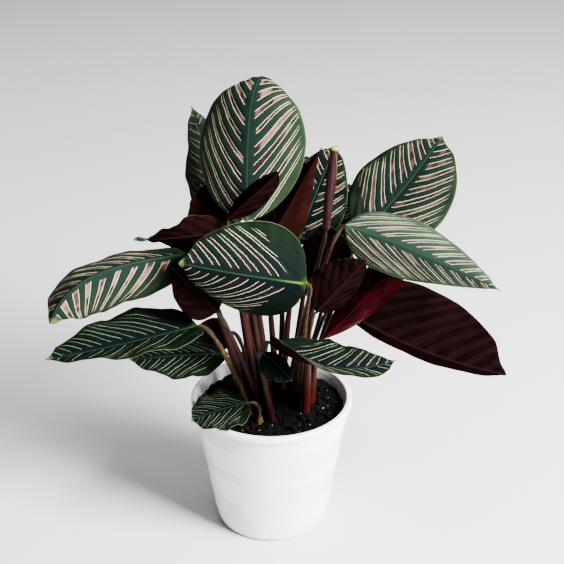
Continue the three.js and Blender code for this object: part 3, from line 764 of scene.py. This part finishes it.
def line_reach(f, veins, bare):
    """1 where the lines run: from near the midrib to near the margin, and not at the leaf's base and apex."""
    start = f.sums("MULTIPLY_ADD", veins.chances[1], 0.09, 0.05)
    end = f.sums("MULTIPLY_ADD", veins.chances[2], 0.1, 0.89)
    reach = f.sums("MULTIPLY", f.step(veins.away, start, f.sums("ADD", start, 0.03)),
                   f.step(veins.away, end, f.sums("SUBTRACT", end, 0.18)))
    leaves_rib = f.sums("MULTIPLY_ADD", veins.away, -0.34, veins.t)
    reach = f.sums("MULTIPLY", reach, f.step(leaves_rib, bare, f.sums("ADD", bare, 0.03)))
    return f.sums("MULTIPLY", reach, f.step(veins.t, 0.985, 0.93))


def pink_fill(f, veins, ground, gap, reach, lines, blush):
    """Pink or dark red between the two lines of a pair, washed out in patches."""
    between = f.step(veins.apart, f.sums("ADD", gap, 0.01), f.sums("SUBTRACT", gap, 0.05))
    between = f.sums("MULTIPLY", between, reach)
    along = {0: f.sums("MULTIPLY", veins.away, 2.2), 1: f.sums("MULTIPLY", veins.chances[1], 40)}
    patchy = f.cloud(f.node("ShaderNodeCombineXYZ", along).outputs[0], 1.6, 2)
    washed = f.sums("MULTIPLY", f.step(patchy, 0.42, 0.66), blush)
    washed = f.sums("MULTIPLY", washed, f.sums("MULTIPLY_ADD", veins.streaks, 1.0, 0.5), clamp=True)
    warm = f.blend(washed, paint(30, 9, 12), paint(204, 152, 132))
    filled = f.sums("MULTIPLY", between, f.sums("MULTIPLY_ADD", blush, 0.6, 0.35), clamp=True)
    return f.blend(f.sums("MULTIPLY", filled, f.step(lines, 0.2, 0.9)), ground, warm)


def pinstripes(f, veins, ground, gap, reach, lines, blush, fibre):
    """The two cream lines of a pair: a fraction of a millimetre thick, uneven, and greener at the margin."""
    from_line = f.sums("MULTIPLY", f.sums("ABSOLUTE", f.sums("SUBTRACT", veins.apart, gap)), veins.pitch)
    bold = f.sums("MULTIPLY", f.sums("MULTIPLY_ADD", lines, 0.5, 0.5), reach)
    thick = f.sums("MULTIPLY", f.sums("MULTIPLY_ADD", fibre, 0.1, 0.06), bold)
    soft = f.sums("MULTIPLY_ADD", thick, 1.25, 0.04)
    line = f.sums("SUBTRACT", 1.0, f.step(from_line, f.sums("MULTIPLY", thick, 0.55), soft))
    clear = f.sums("MULTIPLY_ADD", lines, 0.7, 0.3)
    clear = f.sums("MULTIPLY", clear, f.step(lines, 0.0, 0.1), clamp=True)
    line = f.sums("MULTIPLY", line, f.sums("MULTIPLY", f.step(reach, 0.0, 0.3), clear), clamp=True)
    cream = f.blend(blush, paint(222, 226, 198), paint(250, 228, 198))
    cream = f.blend(f.step(veins.away, 0.5, 0.95), cream, paint(206, 220, 178))
    return f.blend(line, ground, cream)


def green_rib(f, veins, ground, bare):
    """Fresh green: the midrib, the blade's foot at the stem, a thin margin and the drip tip."""
    rib = f.step(veins.off, f.sums("MULTIPLY_ADD", veins.t, -0.8, 1.25), 0.3)
    green = f.blend(f.step(bare, 0.03, 0.1), paint(32, 56, 26), paint(70, 116, 30))
    fresh = f.blend(f.step(veins.t, 0.0, 0.28), green, paint(22, 44, 27))
    colour = f.blend(f.sums("MULTIPLY", rib, 0.8), ground, fresh)
    foot = f.step(f.sums("MULTIPLY_ADD", veins.off, 0.01, veins.t), 0.09, 0.0)
    colour = f.blend(f.sums("MULTIPLY", foot, 0.35), colour, paint(52, 84, 24))
    margin = f.step(veins.away, 0.98, 0.995)
    colour = f.blend(f.sums("MULTIPLY", margin, 0.35), colour, paint(96, 116, 84))
    return f.blend(f.sums("MULTIPLY", f.step(veins.t, 0.955, 0.985), 0.6), colour, paint(78, 104, 48))


def leaf_face():
    """Upper face: dark green, with paired pink-white lines along the veins, and a satin cuticle."""
    f = Finish("leaf_face")
    veins = Veins(f)
    pale, lines, blush = f.carried("look")
    bare = f.carried("more")[1]
    fibre = f.cloud(veins.where, 160, 3)
    gap = half_gap(f, veins, blush)
    reach = line_reach(f, veins, bare)
    colour = leaf_green(f, veins, pale)
    colour = pink_fill(f, veins, colour, gap, reach, lines, blush)
    colour = pinstripes(f, veins, colour, gap, reach, lines, blush, fibre)
    colour = green_rib(f, veins, colour, bare)
    rough = f.sums("MULTIPLY_ADD", fibre, 0.2, 0.56)
    return f.give(Base_Color=colour, Roughness=rough, Normal=veins.relief(f, fibre), Specular_IOR_Level=0.03)


def leaf_back():
    """Back of the leaf: maroon with a soft bloom, faint lighter bands along the veins as a painted sheen on
    the pleats, and a redder midrib. A back set to lie in shade is painted near black, as painted shade.
    """
    f = Finish("leaf_back")
    veins = Veins(f)
    back_unshaded = f.carried("more")[0]
    cloudy = f.cloud(veins.where, 60, 3)
    deep = f.blend(f.step(cloudy, 0.3, 0.7), paint(4, 1, 2), paint(8, 3, 3))
    # Painted shade: the back stays near black unless its share out of shade lifts it to maroon; backs seen in
    # shade keep a low share.
    deep = f.blend(back_unshaded, deep, paint(38, 13, 9))
    # Painted sheen: the lighter bands along the veins stand in for a soft sheen on the pleats of the back.
    band = f.step(veins.apart, 0.12, 0.42)
    colour = f.blend(f.sums("MULTIPLY", band, 0.4), deep, paint(20, 9, 9))
    colour = f.blend(f.sums("MULTIPLY", f.step(veins.streaks, 0.4, 0.7), 0.3), colour, paint(26, 12, 11))
    rib = f.step(veins.off, 1.7, 0.7)
    colour = f.blend(f.sums("MULTIPLY", rib, 0.6), colour, paint(28, 9, 10))
    return f.give(Base_Color=colour, Roughness=0.5, Normal=veins.relief(f, cloudy), Specular_IOR_Level=0.0)


def young_leaf(name, deep, bright):
    """A leaf not yet open: its back shows, smooth and redder, with fine veins along it."""
    f = Finish(name)
    veins = Veins(f)
    cloudy = f.cloud(veins.where, 50, 2)
    colour = f.blend(f.step(cloudy, 0.35, 0.7), paint(*deep), paint(*bright))
    band = f.step(veins.apart, 0.1, 0.45)
    colour = f.blend(f.sums("MULTIPLY", band, 0.3), colour, paint(*deep))
    return f.give(Base_Color=colour, Roughness=0.45, Normal=veins.relief(f, cloudy), Specular_IOR_Level=0.01)


face_finish, back_finish = leaf_face(), leaf_back()
young_finish = young_leaf("half_open_leaf", (14, 0, 1), (32, 0, 3))
for number, leaf in enumerate(LEAVES):
    if leaf["rolled"]:
        continue
    points, faces, part, vein, lie = blade_shape(leaf, number)
    young = leaf["name"] == "half_open"
    finishes = [young_finish, young_finish] if young else [face_finish, back_finish]
    blade = put("blade_" + leaf["name"], points, faces, finishes, part)
    carry(blade, vein, "vein")
    carry(blade, lie, "lie")
    carry(blade, np.tile([leaf["pale"], leaf["lines"], leaf["blush"]], (len(points), 1)), "look")
    carry(blade, np.tile([leaf["back_unshaded"], leaf["bare"], 0], (len(points), 1)), "more")
    belongs(blade, "leaf_half_open" if young else "leaf", "leaf_" + leaf["name"])


# ---------------------------------------------------------------- rolled new leaf
# The newest leaf is still a tight roll standing up among the others, with the free margin wound round it.
# It is maroon, and its cut-looking top and the winding edge are yellow-green.
ROLL_SIDES = 48
ROLL_ROWS = 90
ROLL_STEP = 0.7


def roll_shape(leaf):
    """Rings about a straight line: the half width less a step that winds once and a bit round it."""
    u = np.linspace(0, 1, ROLL_ROWS)
    along = direction(leaf["pitch"], leaf["heading"])
    side = unit(np.cross(along, [0.0, 1.0, 0.0]))
    up = np.cross(along, side)
    line = np.array(leaf["joint"], float) + u[:, None] * leaf["length"] * along
    angle = np.linspace(0, 2 * math.pi, ROLL_SIDES, endpoint=False)[None, :]
    winding = np.mod(angle / (2 * math.pi) + 0.55 * u[:, None] + 0.2, 1)
    ends = smooth(0.0, 0.08, u)[:, None] * smooth(1.0, 0.985, u)[:, None]
    radius = half_width(leaf, u)[:, None] - ROLL_STEP * winding * ends
    outward = np.cos(angle)[..., None] * side + np.sin(angle)[..., None] * up
    points = line[:, None] + radius[..., None] * outward
    points = np.concatenate([points.reshape(-1, 3), line[:1], line[-1:]])
    way = np.stack([np.broadcast_to(u[:, None], winding.shape), winding, 0 * winding], -1).reshape(-1, 3)
    way = np.concatenate([way, [[0, 0, 0], [1, 0, 0]]])
    return points, tube_faces(ROLL_ROWS, ROLL_SIDES), way


def roll_skin():
    """Maroon roll: lengthwise streaks, yellow-green at the top and along the winding edge."""
    f = Finish("roll_skin")
    u, winding, _ = f.carried("way")
    where = f.place()
    streaks = f.cloud(f.stretched(where, (1, 1, 0.08)), 700, 2)
    body = f.blend(f.step(streaks, 0.35, 0.7), paint(20, 5, 9), paint(40, 14, 17))
    edge = f.sums("MULTIPLY", f.step(winding, 0.06, 0.0), 0.5)
    colour = f.blend(edge, body, paint(96, 92, 52))
    colour = f.blend(f.step(u, 0.955, 0.975), colour, paint(140, 140, 60))
    return f.give(Base_Color=colour, Roughness=0.42, Normal=f.relief(streaks, 0.0002), Specular_IOR_Level=0.1)


spear = next(leaf for leaf in LEAVES if leaf["rolled"])
roll_points, roll_faces, roll_way = roll_shape(spear)
rolled_leaf = put("rolled_new_leaf", roll_points, roll_faces, [roll_skin()])
carry(rolled_leaf, roll_way, "way")
belongs(rolled_leaf, "leaf_spear", "leaf_spear")


# ---------------------------------------------------------------- studio
# A wide pale floor, a large soft light at the front right, and a weak wide one overhead.
# The camera stands where the photograph was taken from and looks down a little. Places are in metres.
def studio_floor():
    """Plain matt floor, hardly mottled."""
    f = Finish("studio_floor")
    mottle = f.cloud(f.place(), 3, 2)
    return f.give(Base_Color=f.blend(mottle, paint(206, 206, 208), paint(212, 212, 213)), Roughness=0.8,
                  Specular_IOR_Level=0.2)


floor = put("floor", [[-5000, -3000, 0], [5000, -3000, 0], [5000, 7000, 0], [-5000, 7000, 0]], [[0, 1, 2, 3]],
            [studio_floor()])


def soft_light(name, place, aim, size, watts, tint):
    """A square light at a place, turned to look at the aim."""
    lamp = bpy.data.lights.new(name, "AREA")
    lamp.shape = "SQUARE"
    lamp.size = size
    lamp.energy = watts
    lamp.color = tint
    thing = bpy.data.objects.new(name, lamp)
    bpy.context.scene.collection.objects.link(thing)
    ahead = unit(np.array(aim) - np.array(place))
    thing.location = place
    thing.rotation_euler = (math.acos(-ahead[2]), 0, math.atan2(-ahead[0], ahead[1]))


soft_light("side_light", (1.35, -0.85, 1.25), (0, 0, 0.15), 0.9, 360, (1.0, 0.98, 0.95))
soft_light("top_light", (0.1, 0.3, 2.2), (0, 0, 0.1), 2.4, 45, (0.97, 0.985, 1.0))
world = bpy.context.scene.world or bpy.data.worlds.new("studio")
bpy.context.scene.world = world
world.use_nodes = True
world.node_tree.nodes["Background"].inputs["Color"].default_value = (0.86, 0.9, 0.95, 1)
world.node_tree.nodes["Background"].inputs["Strength"].default_value = 0.09

camera = bpy.data.cameras.new("camera")
camera.lens = 76.6
camera.sensor_width = 36
camera.clip_end = 30
viewer = bpy.data.objects.new("camera", camera)
viewer.location = (0.009, -0.880, 0.660)
viewer.rotation_euler = (math.radians(63.8), 0, 0)
bpy.context.scene.collection.objects.link(viewer)
bpy.context.scene.camera = viewer
